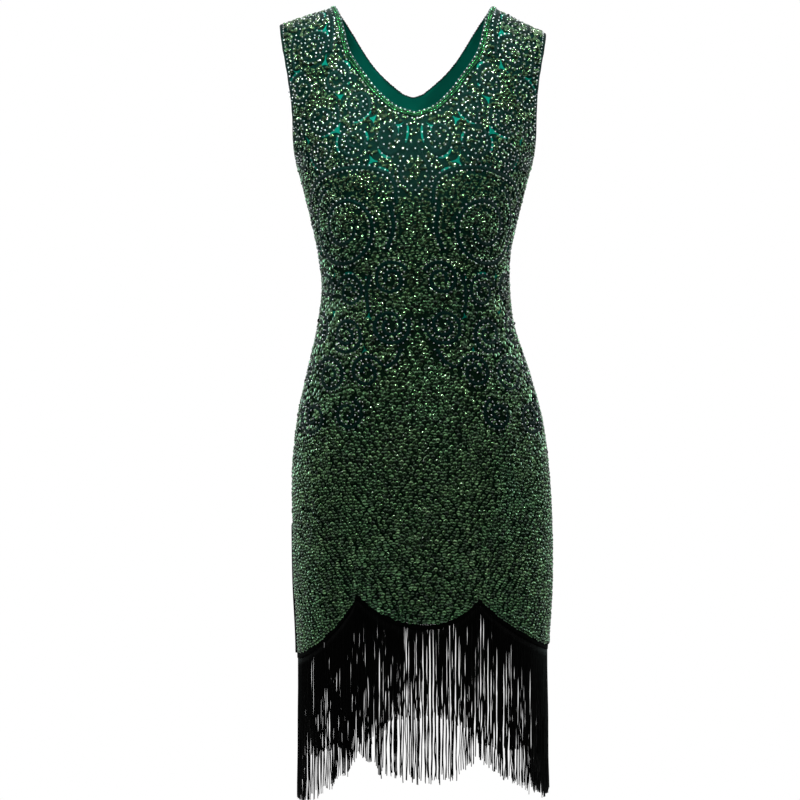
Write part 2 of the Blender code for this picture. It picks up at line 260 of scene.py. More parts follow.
def clothRows(face, side, lines, columnCount, hemShare=0.0, hemDrop=0.0):
    # points, outward normals and directions down the cloth, with distance across from the centre
    inner, drop, share, below = (np.array(column)[:, None] for column in zip(*lines))
    hemShare, hemDrop = np.reshape(hemShare, (-1, 1)), np.reshape(hemDrop, (-1, 1))
    tip, arch = cut["tipDrop"][side], cut["arch"][face]
    edge = -tip - drop + (cut["underarm"] + tip + arch) * share + below
    innerHalf = np.where(inner > cut["neckPoint"][face], neckAt[face](inner), 0.0)
    edgeHalf = np.where(edge > cut["underarm"], armholeAt(edge), halfAt(edge))
    start = np.arcsin(innerHalf / halfAt(inner))
    end = np.arcsin(np.minimum(1.0, edgeHalf / halfAt(edge)))
    angle = start + (end - start) * np.linspace(0, 1, columnCount)[None, :]
    along = (np.sin(angle) - np.sin(start)) / (np.sin(end) - np.sin(start))
    x = innerHalf + (edgeHalf - innerHalf) * along
    z = inner + (edge - inner) * along
    z = z + (scallopHeight(angle, side) - z) * hemShare - hemDrop
    x = np.where(hemShare > 0, halfAt(z) * np.sin(angle), x)
    flat = np.sqrt(np.clip(1 - (x / halfAt(z)) ** 2, 0, 1))
    seam = -tip * (x - cut["neckHalf"]) / (cut["tipHalf"] - cut["neckHalf"])
    onArch = np.clip((seam - z) / arch, 0, 1)
    nearSeam = np.clip(1 - drop / arch / 0.15, 0, 1) * (share == 0)
    onArch = onArch + (drop / arch - onArch) * nearSeam
    y = face * depthAt[face](z) * flat ** cut["roundness"] * np.sqrt(1 - (1 - onArch) ** 2)
    points = np.stack([side * x, y, z], axis=-1)
    normals = gridNormals(face, side, points, inner[:, 0], edge[:, 0])
    step = np.linalg.norm(np.diff(points, axis=1), axis=2)
    across = innerHalf + np.concatenate([np.zeros((len(step), 1)), np.cumsum(step, axis=1)], axis=1)
    points = points + normals * creaseRise(face, side * across, z)[..., None]
    points[..., 1] += face * cut["seamGap"] / 2
    normals = gridNormals(face, side, points, inner[:, 0], edge[:, 0])
    downs = np.gradient(points, axis=0)
    downs = unit(downs - normals * np.sum(downs * normals, axis=-1, keepdims=True))
    return {"points": swayed(points, z), "normals": swayed(normals, z, False),
            "downs": swayed(downs, z, False), "across": across, "angle": angle, "z": z}


# a cloth plane: distance across from the centre line and down from the shoulder seam
plane = {"rowStep": 2.4 * mm, "acrossStep": 2.5 * mm, "acrossMost": 240 * mm, "lowest": -835 * mm,
         "fineStep": 2 * mm, "columns": 81}
cloth = {}
for face in (front, back):
    lines = yokeLines(face)
    lines += [levelLine(face, z)
              for z in np.arange(cut["underarm"] - plane["fineStep"], plane["lowest"], -plane["fineStep"])]
    length = travelled(clothRows(face, -1, lines, 5)["points"][:, 2])
    down = np.arange(0, length[-1], plane["rowStep"])
    table = np.array(lines)
    spaced = np.stack([np.interp(down, length, table[:, k]) for k in range(4)], axis=1)
    lines = [tuple(row) for row in spaced]
    lines[0] = (0.0, 0.0, 0.0, 0.0)
    steps = np.arange(0, plane["acrossMost"], plane["acrossStep"])
    cloth[face] = {"lines": lines, "down": down}
    for side in (-1, 1):
        rows = clothRows(face, side, lines, plane["columns"])
        packed = [rows["points"], rows["normals"], rows["downs"], rows["angle"][..., None]]
        packed = np.concatenate(packed, axis=2)
        even = np.empty((len(lines), len(steps), packed.shape[2]))
        for k in range(len(lines)):
            for channel in range(packed.shape[2]):
                even[k, :, channel] = np.interp(steps, rows["across"][k], packed[k, :, channel])
        cloth[face][side] = {"even": even, "first": rows["across"][:, 0], "last": rows["across"][:, -1]}
print("cloth plane ready")


def onCloth(face, flat, lift=0.0):
    # places on the cloth's outside: point, normal, down direction and angle round the body
    across, down = flat[..., 0], flat[..., 1]
    out = np.empty(across.shape + (10,))
    for side in (-1, 1):
        chosen = (across >= 0) if side > 0 else (across < 0)
        even = cloth[face][side]["even"]
        k = np.clip(down[chosen] / plane["rowStep"], 0, len(even) - 1.001)
        i = np.clip(np.abs(across[chosen]) / plane["acrossStep"], 0, even.shape[1] - 1.001)
        k0, i0 = k.astype(int), i.astype(int)
        u, v = (k - k0)[:, None], (i - i0)[:, None]
        out[chosen] = ((even[k0, i0] * (1 - u) + even[k0 + 1, i0] * u) * (1 - v)
                       + (even[k0, i0 + 1] * (1 - u) + even[k0 + 1, i0 + 1] * u) * v)
    normals = unit(out[..., 3:6])
    return out[..., :3] + normals * np.asarray(lift)[..., None], normals, unit(out[..., 6:9]), out[..., 9]


def edgeAcross(face, flat, which):
    # how far from the centre line the cloth begins ("first") or ends ("last") at each place's level
    left, right = (np.interp(flat[:, 1], cloth[face]["down"], cloth[face][side][which]) for side in (1, -1))
    return np.where(flat[:, 0] >= 0, left, right)


# making pieces

def finishPiece(name, mesh, material, nodes=()):
    piece = newObject(name, mesh)
    mesh.materials.append(material)
    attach(piece, "root")
    if nodes:
        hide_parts(*nodes)
    return piece


def gridSheet(bm, points, maps=None, uvLayer=None):
    # one grid of the mesh laid out on a grid of points
    rows, columns = points.shape[:2]
    made = bmesh.ops.create_grid(bm, x_segments=columns - 1, y_segments=rows - 1, size=1.0)
    places = {}
    for vert in made["verts"]:
        places[vert] = (round((vert.co.y + 1) / 2 * (rows - 1)), round((vert.co.x + 1) / 2 * (columns - 1)))
        vert.co = points[places[vert]]
    if maps is not None:
        for vert in made["verts"]:
            for loop in vert.link_loops:
                loop[uvLayer].uv = maps[places[vert]]


def newSheet(mapName):
    bm = bmesh.new()
    return bm, bm.loops.layers.uv.new(mapName)


def meshFrom(bm, name, smooth=True):
    mesh = bpy.data.meshes.new(name)
    bm.to_mesh(mesh)
    bm.free()
    if smooth:
        mesh.polygons.foreach_set("use_smooth", [True] * len(mesh.polygons))
    return mesh


def sheetPiece(name, bm, face, material, nodes=(), thickness=0.0):
    # turn the grids outwards (face 0 is for a piece on both faces, which is left as it lies);
    # those of thick cloth are welded, and its wall grows inwards
    if thickness:
        bmesh.ops.remove_doubles(bm, verts=bm.verts, dist=1e-6)
    bmesh.ops.recalc_face_normals(bm, faces=bm.faces)
    if sum(f.normal.y * face * f.calc_area() for f in bm.faces) < 0:
        bmesh.ops.reverse_faces(bm, faces=bm.faces)
    piece = finishPiece(name, meshFrom(bm, name), material, nodes)
    if thickness:
        wall = piece.modifiers.new("wall", "SOLIDIFY")
        wall.thickness = thickness
        wall.offset = -1.0
    return piece


def facesMesh(name, corners, loops, sizes):
    # a smooth mesh from all of its corners at once, whose faces have these numbers of corners
    mesh = bpy.data.meshes.new(name)
    mesh.vertices.add(len(corners))
    mesh.vertices.foreach_set("co", corners.ravel())
    mesh.loops.add(len(loops))
    mesh.loops.foreach_set("vertex_index", loops)
    mesh.polygons.add(len(sizes))
    mesh.polygons.foreach_set("loop_start", np.concatenate([[0], np.cumsum(sizes)[:-1]]))
    mesh.polygons.foreach_set("use_smooth", np.ones(len(sizes), bool))
    return mesh


def addMap(mesh, name, uv, loops):
    layer = mesh.uv_layers.new(name=name)
    layer.uv.foreach_set("vector", uv.reshape(-1, 2)[loops].ravel().astype(np.float32))


def scatter(name, template, points, frames, sizes, shades):
    # many copies of one small shape joined into one mesh; frames hold each copy's x, y and z directions
    shape = np.array([v.co[:] for v in template.vertices])
    # sorted, because extruding leaves the faces in an order that changes from run to run
    corners = sorted(list(p.vertices) for p in template.polygons)
    count, each = len(points), len(shape)
    turned = np.einsum("vk,nkd->nvd", shape, np.stack(frames, axis=1))
    where = points[:, None, :] + turned * sizes[:, None, None]
    loops = (np.arange(count)[:, None] * each + np.concatenate(corners)[None, :]).ravel()
    mesh = facesMesh(name, where.reshape(-1, 3), loops, np.tile([len(c) for c in corners], count))
    shade = mesh.attributes.new("shade", "FLOAT", "POINT")
    shade.data.foreach_set("value", np.repeat(shades, each).astype(np.float32))
    local = mesh.attributes.new("local", "FLOAT_VECTOR", "POINT")
    local.data.foreach_set("vector", np.tile(shape, (count, 1)).ravel().astype(np.float32))
    # each copy has a small square of the map to itself
    side = math.ceil(math.sqrt(count))
    spread = np.abs(shape[:, :2]).max() * 2.2
    cell = np.stack([np.arange(count) % side, np.arange(count) // side], axis=1) + 0.5
    addMap(mesh, "OFBake", (cell[:, None, :] + shape[None, :, :2] / spread) / side, loops)
    mesh.update(calc_edges=True)
    return mesh


# materials

def objectPlace(tree):
    return addNode(tree, "ShaderNodeTexCoord").outputs["Object"]


def uvPlace(tree, name):
    return addNode(tree, "ShaderNodeUVMap", {"uv_map": name}).outputs["UV"]


def heightAbove(tree):
    return addNode(tree, "ShaderNodeSeparateXYZ", links={0: objectPlace(tree)}).outputs["Z"]


def ownShade(tree):
    # each bead or sequin has a shade of its own
    return addNode(tree, "ShaderNodeAttribute", {"attribute_name": "shade"}).outputs["Fac"]


def fromTo(tree, value, start, end, low=0.0, high=1.0):
    settings = {"From Min": start, "From Max": end, "To Min": low, "To Max": high}
    return addNode(tree, "ShaderNodeMapRange", settings, {"Value": value}).outputs["Result"]


def multiplied(tree, first, second, share):
    settings = {"data_type": "RGBA", "blend_type": "MULTIPLY", 0: share}
    return addNode(tree, "ShaderNodeMix", settings, {6: first, 7: second}).outputs[2]


def relief(tree, shader, height, strength, depth, **settings):
    settings.update({"Strength": strength, "Distance": depth})
    bump = addNode(tree, "ShaderNodeBump", settings, {"Height": height})
    tree.links.new(bump.outputs["Normal"], shader.inputs["Normal"])


def waves(tree, place, scale, distortion, direction, **settings):
    settings.update({"Scale": scale, "Distortion": distortion, "bands_direction": direction})
    return addNode(tree, "ShaderNodeTexWave", settings, {"Vector": place}).outputs["Fac"]


def noise(tree, place, scale, detail, **settings):
    settings.update({"Scale": scale, "Detail": detail})
    return addNode(tree, "ShaderNodeTexNoise", settings, {"Vector": place}).outputs["Fac"]


def netHoles(tree):
    # rows of holes 1.6 mm apart
    cells = addNode(tree, "ShaderNodeTexVoronoi", {"Scale": 620.0, "Randomness": 0.15},
                    {"Vector": uvPlace(tree, "cloth")})
    return cells.outputs["Distance"]


# PVC sequin foil, pressed into shallow cups: a dark green mirror whose rims catch the light
foil = {"Metallic": 0.97, "Coat Weight": 0.7, "Coat Roughness": 0.1}
sequinFoil, tree, shader = newMaterial("greenSequinFoil", foil)
tones = addRamp(tree, ownShade(tree), [(0.0, "#223a28"), (0.3, "#3a593d"), (0.65, "#557a54"),
                                       (0.9, "#71976e"), (1.0, "#8aa885")])
rough = fromTo(tree, noise(tree, objectPlace(tree), 900.0, 2.0), 0.3, 0.7, 0.05, 0.11)
# the rim is dulled where the cups rub on one another, most of all on the skirt
rubbed = fromTo(tree, heightAbove(tree), -0.60, -0.28, 0.38, 0.23)
local = addNode(tree, "ShaderNodeAttribute", {"attribute_name": "local"})
fromMiddle = addNode(tree, "ShaderNodeVectorMath", {"operation": "LENGTH"}, {0: local.outputs["Vector"]})
rim = fromTo(tree, fromMiddle.outputs["Value"], 0.62, 0.70)
dulled = addNode(tree, "ShaderNodeMix", links={0: rim, 2: rough, 3: rubbed})
# two batches of foil, one mossier and one nearer to emerald
batches = noise(tree, objectPlace(tree), 11.0, 3.0, Roughness=0.7)
tinted = multiplied(tree, tones, addRamp(tree, batches, [(0.46, "#f2fae6"), (0.8, "#c4fcee")]), 1.0)
tree.links.new(tinted, shader.inputs["Base Color"])
tree.links.new(dulled.outputs["Result"], shader.inputs["Roughness"])

# silver-lined glass seed beads: nearly white points with a clear glint
seedGlass, tree, shader = newMaterial("silverLinedGlass", {"Metallic": 0.1, "Roughness": 0.16, "IOR": 1.52})
paint(tree, shader, ownShade(tree), [(0.0, "#8c9498"), (0.4, "#b0b8bc"), (0.8, "#d0d6da"), (1.0, "#f0f4f6")])

# painted shade: seed beads painted near black, standing in for the back neck's beads seen from their shaded
# side, with a dull gleam
paintedShadeGlass, tree, shader = newMaterial("paintedShadeGlass", {"Roughness": 0.3, "Specular IOR Level": 0.3})
paint(tree, shader, ownShade(tree), [(0.0, "#010202"), (1.0, "#0a1210")])

# bugle glass: green foil-lined tubes with one bright line along each
bugleGlass, tree, shader = newMaterial("greenBugleGlass", {"Metallic": 0.85, "Roughness": 0.2})
paint(tree, shader, ownShade(tree), [(0.0, "#144a2c"), (0.5, "#206a3c"), (1.0, "#54ac6c")])

# scroll tape: flat polyester braid, dark teal and ribbed along its length
braid = {"Metallic": 0.1, "Roughness": 0.42, "Specular IOR Level": 0.03}
scrollTape, tree, shader = newMaterial("foilBraidTape", braid)
ribs = waves(tree, uvPlace(tree, "along"), 2.0, 0.6, "X")
paint(tree, shader, ribs, [(0.0, "#000c0a"), (0.6, "#011915"), (1.0, "#042c25")])
relief(tree, shader, ribs, 0.4, 0.0003)

# stretch net over the teal lining: nearly black in the skirt, teal towards the shoulders
tealNet, tree, shader = newMaterial("tealStretchNet", {"Roughness": 0.7, "Specular IOR Level": 0.03})
level = fromTo(tree, heightAbove(tree), -0.46, -0.20)
ground = addRamp(tree, level, [(0.0, "#041a0d"), (0.5, "#02180f"), (1.0, "#001e18")])
holes = netHoles(tree)
threads = addRamp(tree, holes, [(0.0, "#ffffff"), (0.45, "#e8e8e8"), (0.8, "#8c8c8c")])
tree.links.new(multiplied(tree, ground, threads, 0.6), shader.inputs["Base Color"])
relief(tree, shader, holes, 0.3, 0.0003, invert=True)

# polyester jersey: matt teal with the fine wales of a knit
tealJersey, tree, shader = newMaterial("tealJersey", {"Roughness": 0.85, "Specular IOR Level": 0.02})
paint(tree, shader, noise(tree, uvPlace(tree, "cloth"), 14.0, 3.0), [(0.25, "#003c31"), (0.75, "#00463a")])
relief(tree, shader, waves(tree, uvPlace(tree, "cloth"), 180.0, 0.8, "X", Detail=1.0), 0.25, 0.0002)

# the lining seen through bare net: the same teal painted lighter, a lit copy of the lining's colour as
# painted light
paintedLitNet, tree, shader = newMaterial("bareTealNetPaintedLit", {"Roughness": 0.75, "Specular IOR Level": 0.03})
paint(tree, shader, netHoles(tree), [(0.1, "#006c5a"), (0.7, "#005345")])

# grosgrain hem tape: matt black cross ribs
blackTape, tree, shader = newMaterial("blackGrosgrain", {"Roughness": 0.85, "Specular IOR Level": 0.03})
ribs = waves(tree, objectPlace(tree), 260.0, 1.5, "DIAGONAL")
paint(tree, shader, ribs, [(0.0, "#000000"), (1.0, "#060706")])
relief(tree, shader, ribs, 0.4, 0.0003)

# twisted rayon: black strands with a soft lengthwise gleam
blackRayon, tree, shader = newMaterial("twistedBlackRayon", {"Roughness": 0.42, "Specular IOR Level": 0.08})
ply = waves(tree, uvPlace(tree, "twist"), 1.0, 0.3, "DIAGONAL")
paint(tree, shader, ply, [(0.0, "#000000"), (0.8, "#010101"), (1.0, "#040504")])
relief(tree, shader, ply, 0.5, 0.0002)
print("materials ready")


# the two net panels, the two lining panels and the hem tapes
panelGrid = {"net": {"skip": 3, "columns": 41, "hemRows": 24},
             "lining": {"skip": 5, "columns": 25, "hemRows": 6},
             "tape": {"rows": 4, "columns": 61, "lift": 0.3 * mm}, "nearPoint": 8 * mm}


def panelSheet(face, inside, grid, hemEnd):
    bm, uvLayer = newSheet("cloth")
    body = [line for line in cloth[face]["lines"] if line[0] >= cut["hemStart"]]
    # rows stand closer about the neck's lowest point, and one lies on it
    point = cut["neckPoint"][face]
    table = np.array(body)
    exact = (point, *(np.interp(-point, -table[:, 0], table[:, k]) for k in (1, 2, 3)))
    near = [line for line in body if abs(line[0] - point) < panelGrid["nearPoint"]]
    lines = sorted({*body[::grid["skip"]], *near, exact}, reverse=True)
    hemLine = levelLine(face, cut["hemStart"])
    if lines[-1][0] > cut["hemStart"] + 0.5 * mm:
        lines.append(hemLine)
    shares = np.linspace(0, hemEnd, grid["hemRows"] + 1)[1:]
    hemShare = np.concatenate([np.zeros(len(lines)), shares])
    lines = lines + [hemLine] * len(shares)
    for side in (-1, 1):
        rows = clothRows(face, side, lines, grid["columns"], hemShare)
        maps = np.stack([side * rows["across"], rows["z"]], axis=2)
        gridSheet(bm, rows["points"] - rows["normals"] * inside, maps, uvLayer)
    return bm


def hemTapeSheet(face, grid):
    bm = bmesh.new()
    drops = cut["seamGap"] + np.linspace(0, cut["tapeHeight"], grid["rows"])
    for side in (-1, 1):
        rows = clothRows(face, side, [levelLine(face, cut["hemStart"])] * grid["rows"], grid["columns"],
                         np.ones(grid["rows"]), drops)
        gridSheet(bm, rows["points"] + rows["normals"] * grid["lift"])
    return bm


panels, linings = {}, {}
for face in (front, back):
    word = faceNames[face].lower()
    panels[face] = sheetPiece(f"net{faceNames[face]}", panelSheet(face, 0.0, panelGrid["net"], 1.0), face,
                              tealNet, [f"{word}_panel"], cut["panel"])
    lining = panelSheet(face, cut["liningDepth"], panelGrid["lining"], cut["liningEnd"])
    linings[face] = sheetPiece(f"lining{faceNames[face]}", lining, face, tealJersey,
                               [f"{word}_lining"], cut["lining"])
    sheetPiece(f"hemTape{faceNames[face]}", hemTapeSheet(face, panelGrid["tape"]), face, blackTape,
               [f"hem_tape_{word}"], cut["tape"])
print("panels, linings and hem tapes ready")


# scroll tapes: a chart of curls on the cloth plane

def curl(across, down, outer, inner, start, turns, ease=1.0):
    # a spiral from its outer end inwards, in mm on the cloth plane, angles clockwise from +across
    t = np.linspace(0, 1, max(12, int(abs(turns) * 26)))
    angle = np.radians(start + 360 * turns * t)
    radius = outer + (inner - outer) * t ** ease
    return np.stack([across + radius * np.cos(angle), down + radius * np.sin(angle)], axis=1)


def sweep(*knots):
    # a smooth line through a few points
    knots = np.array(knots, float)
    ends = np.concatenate([[2 * knots[0] - knots[1]], knots, [2 * knots[-1] - knots[-2]]])
    line = []
    for a, b, c, d in zip(ends[:-3], ends[1:-2], ends[2:-1], ends[3:]):
        for t in np.linspace(0, 1, 9)[:-1]:
            line.append(0.5 * ((2 * b) + (c - a) * t + (2 * a - 5 * b + 4 * c - d) * t ** 2
                               + (3 * b - a - 3 * c + d) * t ** 3))
    line.append(knots[-1])
    return np.array(line)


# the left half of each face, in mm across and down; the other half is its mirror image
scrolls = {
    "width": 5.6 * mm, "step": 2.8 * mm, "lift": 0.5 * mm, "liftStep": 0.12 * mm, "crown": 0.8 * mm,
    "beadOffset": 0.7 * mm, "beadGap": 6.9 * mm, "beadSize": 0.98 * mm,
    # how far sequins keep off the tape, down to each height
    "keepOff": {250: 1.3, 360: 2.0, 900: 1.2},
    "chart": [
        # strap and yoke
        curl(136, 30, 21, 6, 150, 1.4), curl(128, 80, 23, 6, -40, -1.55),
        curl(146, 128, 21, 6, 250, 1.4), curl(98, 128, 19, 5, -100, -1.25), curl(72, 167, 20, 5, 60, 1.35),
        curl(118, 176, 23, 6, -150, -1.55), curl(159, 178, 17, 5, 30, 1.15), curl(31, 213, 19, 5, 200, -1.3),
        curl(76, 214, 21, 5, -60, 1.45), curl(122, 224, 20, 5, 100, -1.4), curl(166, 224, 19, 5, -30, 1.3),
        sweep((108, 14), (105, 36), (102, 58), (104, 92)),
        sweep((154, 52), (158, 74), (156, 98)),
        # a leaf on the centre line
        sweep((2, 224), (15, 240), (17, 258), (2, 276)),
        # the large volutes under the bust
        sweep((22, 290), (26, 262), (46, 248), (80, 244), (112, 250), (142, 262), (164, 284)),
        curl(92, 318, 57, 15, -60, 1.65, 0.95),
        curl(172, 306, 16, 5, 200, 1.1), curl(168, 350, 17, 5, -120, -1.15),
        sweep((34, 346), (26, 320), (30, 292)),
        # waist
        curl(31, 384, 23, 6, 210, 1.5), curl(86, 399, 22, 6, -20, -1.45), curl(134, 392, 20, 5, 120, 1.4),
        curl(34, 442, 25, 6, -160, -1.75), curl(92, 452, 24, 6, 40, 1.6), curl(144, 446, 22, 6, -90, -1.45),
        sweep((58, 378), (62, 402), (60, 424)),
        sweep((156, 374), (164, 400), (160, 424)),
        # hips
        curl(68, 500, 22, 6, 200, 1.45), curl(120, 504, 24, 6, -30, -1.6), curl(172, 494, 22, 6, 70, 1.45),
        curl(96, 552, 21, 5, 240, -1.4), curl(150, 556, 24, 6, -60, 1.55),
        sweep((178, 526), (180, 548), (176, 570)),
        sweep((22, 470), (30, 486), (44, 494)),
    ]}


def bandMaps(offsets, path):
    # a map in millimetres across and along a tape
    across, along = np.broadcast_arrays(np.asarray(offsets)[None, :], travelled(path)[:, None] / mm)
    return np.stack([across, along], axis=2)


def tapeStrip(bm, uvLayer, face, path, width, lift, crown):
    offsets = np.array([-1, -0.6, 0, 0.6, 1]) * width / 2
    heights = lift + crown * np.array([0.0, 0.8, 1.0, 0.8, 0.0])
    flat = path[:, None, :] + sideways(path)[:, None, :] * offsets[None, :, None]
    gridSheet(bm, onCloth(face, flat, heights)[0], bandMaps(offsets / mm, path), uvLayer)


tapePaths = {front: [], back: []}          # every taped line and how far sequins keep off it
beadFlats = {front: [], back: []}
for face in (front, back):
    bm, uvLayer = newSheet("along")
    for number, line in enumerate(scrolls["chart"]):
        for mirror in (-1, 1):
            path = evenly(line * mm * (mirror, 1), scrolls["step"])
            lift = scrolls["lift"] + scrolls["liftStep"] * (number % 4)
            tapeStrip(bm, uvLayer, face, path, scrolls["width"], lift, scrolls["crown"])
            clear = next(gap for end, gap in scrolls["keepOff"].items() if path[:, 1].mean() < end * mm)
            tapePaths[face].append((path, scrolls["width"] / 2 + clear * mm))
            for way in (-1, 1):
                beside = path + sideways(path) * way * (scrolls["width"] / 2 + scrolls["beadOffset"])
                beadFlats[face].append(evenly(beside, scrolls["beadGap"]))
    sheetPiece(f"scrollTapes{faceNames[face]}", bm, face, scrollTape)
print("scroll tapes ready")

# slivers of bare net along the outer side of curls: number in the chart, from and to along the curl
slivers = {
    "offset": 4.1 * mm, "halfWidth": 1.5 * mm, "clear": 3.6 * mm, "step": 2.4 * mm,
    "places": [(0, .04, .16), (1, .10, .22), (2, .05, .18), (3, .04, .15), (3, .22, .28), (4, .04, .18),
               (5, .12, .24), (7, .00, .10), (7, .24, .34), (8, .06, .18), (8, .44, .54), (9, .10, .22),
               (10, .05, .16), (14, .26, .34), (17, .04, .14), (20, .10, .18), (25, .06, .13)]}
sliverPaths = []
for number, start, end in slivers["places"]:
    line = scrolls["chart"][number] * mm
    part = line[int(start * len(line)):int(end * len(line)) + 1]
    middle = line[len(line) * 2 // 3:].mean(0)
    side = sideways(part)
    way = np.sign(np.sum(side * (part - middle)))
    for mirror in (-1, 1):
        sliverPaths.append(evenly((part + side * way * slivers["offset"]) * (mirror, 1), slivers["step"]))
for face in (front, back):
    tapePaths[face] += [(path, slivers["clear"]) for path in sliverPaths]


# bound neck and armholes
bindings = {
    "neckWidth": 7.4 * mm, "armWidth": 4.6 * mm, "step": 3 * mm, "clear": 1.4 * mm,
    "beadInset": 0.5 * mm, "beadOffset": 0.7 * mm, "neckBeads": 6.5 * mm, "armBeads": 5.8 * mm,
    # the folded tape's section: share of the width and lift outside, then distance in and lift at the fold
    "outside": [(1.0, 0.2), (0.93, 1.2), (0.6, 1.5), (0.25, 1.4)],
    "fold": [(0.3, 1.1), (-0.5, 0.3), (-0.7, -1.4), (-0.4, -2.9), (0.1, -3.3), (0.6, -3.4)],
}


def boundEdge(bm, uvLayer, face, edge, inward, width):
    # a tape folded over the cloth's edge: across it outside, round the edge and back inside
    base, normals, _, _ = onCloth(face, edge)
    into = unit(onCloth(face, edge + inward * bindings["step"])[0] - base)
    points = [onCloth(face, edge + inward * width * share, lift * mm)[0]
              for share, lift in bindings["outside"]]
    points += [base + into * inset * mm + normals * lift * mm for inset, lift in bindings["fold"]]
    points = np.stack(points, axis=1)
    gridSheet(bm, points, bandMaps(np.linspace(-4, 4, points.shape[1]), edge), uvLayer)


def neckEdge(face):
    down = cloth[face]["down"]
    isOpen = cloth[face][1]["first"] > 0.4 * mm
    left = np.stack([cloth[face][1]["first"][isOpen], down[isOpen]], axis=1)
    right = left * (-1, 1)
    lowest = np.interp(-cut["neckPoint"][face], [-line[0] for line in cloth[face]["lines"]], down)
    path = evenly(np.concatenate([right, [[0.0, lowest]], left[::-1]]), bindings["step"])
    smooth = path.copy()
    for _ in range(5):
        smooth[1:-1] = (smooth[:-2] + 2 * smooth[1:-1] + smooth[2:]) / 4
    # nowhere above the cloth's own edge
    edgeDown = np.interp(-np.abs(smooth[:, 0]), -left[:, 0], left[:, 1], right=lowest)
    smooth[:, 1] = np.maximum(smooth[:, 1], edgeDown)
    inward = sideways(smooth)
    return smooth, inward * np.sign(inward[len(inward) // 2, 1])


def armholeEdge(face, side):
    down = cloth[face]["down"]
    yoke = np.array([line[3] for line in cloth[face]["lines"]]) >= -1e-9
    path = evenly(np.stack([side * cloth[face][side]["last"][yoke], down[yoke]], axis=1), bindings["step"])
    inward = sideways(path)
    return path, -inward * side * np.sign(inward[len(inward) // 2, 0])


def bindEdge(bm, uvLayer, face, edge, inward, width, beadGap):
    boundEdge(bm, uvLayer, face, edge, inward, width)
    tapePaths[face].append((edge + inward * width / 2, width / 2 + bindings["clear"]))
    return evenly(edge + inward * (width + bindings["beadOffset"]), beadGap)


for face in (front, back):
    edge, inward = neckEdge(face)
    bm, uvLayer = newSheet("along")
    outerBeads = bindEdge(bm, uvLayer, face, edge, inward, bindings["neckWidth"], bindings["neckBeads"])
    beadFlats[face] += [evenly(edge + inward * bindings["beadInset"], bindings["neckBeads"]), outerBeads]
    sheetPiece(f"neckBand{faceNames[face]}", bm, face, scrollTape,
               [f"neck_band_{faceNames[face].lower()}"])
for side, word in ((1, "left"), (-1, "right")):
    bm, uvLayer = newSheet("along")
    for face in (front, back):
        edge, inward = armholeEdge(face, side)
        beadFlats[face].append(bindEdge(bm, uvLayer, face, edge, inward, bindings["armWidth"],
                                        bindings["armBeads"]))
    sheetPiece(f"armholeBand{word.capitalize()}", bm, 0, scrollTape, [f"armhole_band_{word}"])
print("bindings ready")


# beads

def smallShape(name, build):
    bm = bmesh.new()
    build(bm)
    return meshFrom(bm, name, False)


def beadShape(bm):
    # a squat bead of twenty faces
    bmesh.ops.create_icosphere(bm, subdivisions=1, radius=1.0)
    bmesh.ops.scale(bm, vec=(1, 1, 0.9), verts=bm.verts)


def spotTree(flat):
    tree = KDTree(len(flat))
    for number, spot in enumerate(flat):
        tree.insert((*spot, 0), number)
    tree.balance()
    return tree


def spacedOut(flat, gap):
    # leave out the places that would crowd an earlier one
    tree = spotTree(flat)
    kept = np.ones(len(flat), bool)
    for number, spot in enumerate(flat):
        if kept[number]:
            for _, other, _ in tree.find_range((*spot, 0), gap):
                kept[other] &= other <= number
    return flat[kept]


def upright(normals, downs):
    # a shape that hangs straight: its ways to the right, up and out
    return unit(np.cross(-downs, normals)), -downs, normals


def beadPiece(name, shape, points, frames, size, vary, material):
    sizes = size * dice.uniform(*vary, len(points))
    mesh = scatter(name, shape, points, frames, sizes, dice.uniform(0, 1, len(points)))
    finishPiece(name, mesh, material)


beads = {"apart": 3.3 * mm, "lift": (1.2, 1.7), "vary": (0.88, 1.12), "overhang": 0.5 * mm}
bead = smallShape("seedBead", beadShape)
for face in (front, back):
    flat = np.concatenate(beadFlats[face])
    flat = flat[np.abs(flat[:, 0]) < edgeAcross(face, flat, "last") + beads["overhang"]]
    flat = spacedOut(flat, beads["apart"])
    points, normals, downs, _ = onCloth(face, flat, dice.uniform(*beads["lift"], len(flat)) * mm)
    beadPiece(f"beads{faceNames[face]}", bead, points, upright(normals, downs), scrolls["beadSize"],
              beads["vary"], seedGlass)
    print("beads", face, len(flat))

# the back neck's edge carries a row of small beads painted near black as painted shade, for beads seen from
# their shaded side; none at the point of the V
paintedShadeRow = {"outset": 0.4 * mm, "gap": 4.3 * mm, "fromPoint": 6 * mm, "lift": -0.8 * mm, "size": 1.1 * mm,
        "vary": (0.85, 1.15)}
edge, inward = neckEdge(back)
flat = evenly(edge - inward * paintedShadeRow["outset"], paintedShadeRow["gap"])
flat = flat[np.abs(flat[:, 0]) > paintedShadeRow["fromPoint"]]
points, normals, downs, _ = onCloth(back, flat, paintedShadeRow["lift"])
beadPiece("backNeckPaintedShadeBeads", bead, points, upright(normals, downs), paintedShadeRow["size"], paintedShadeRow["vary"], paintedShadeGlass)

# two rows of green glass bugles lie along the neck band
bugles = {"rows": (2.7 * mm, 5.2 * mm), "gap": 4.6 * mm, "halfLength": 2.0 * mm, "radius": 1.1 * mm,
          "lift": 1.9 * mm, "vary": (0.92, 1.05)}


def bugleShape(bm):
    bmesh.ops.create_cone(bm, cap_ends=True, segments=6, radius1=bugles["radius"], radius2=bugles["radius"],
                          depth=2 * bugles["halfLength"])
    bmesh.ops.rotate(bm, cent=(0, 0, 0), matrix=Matrix.Rotation(math.pi / 2, 3, "Y"), verts=bm.verts)


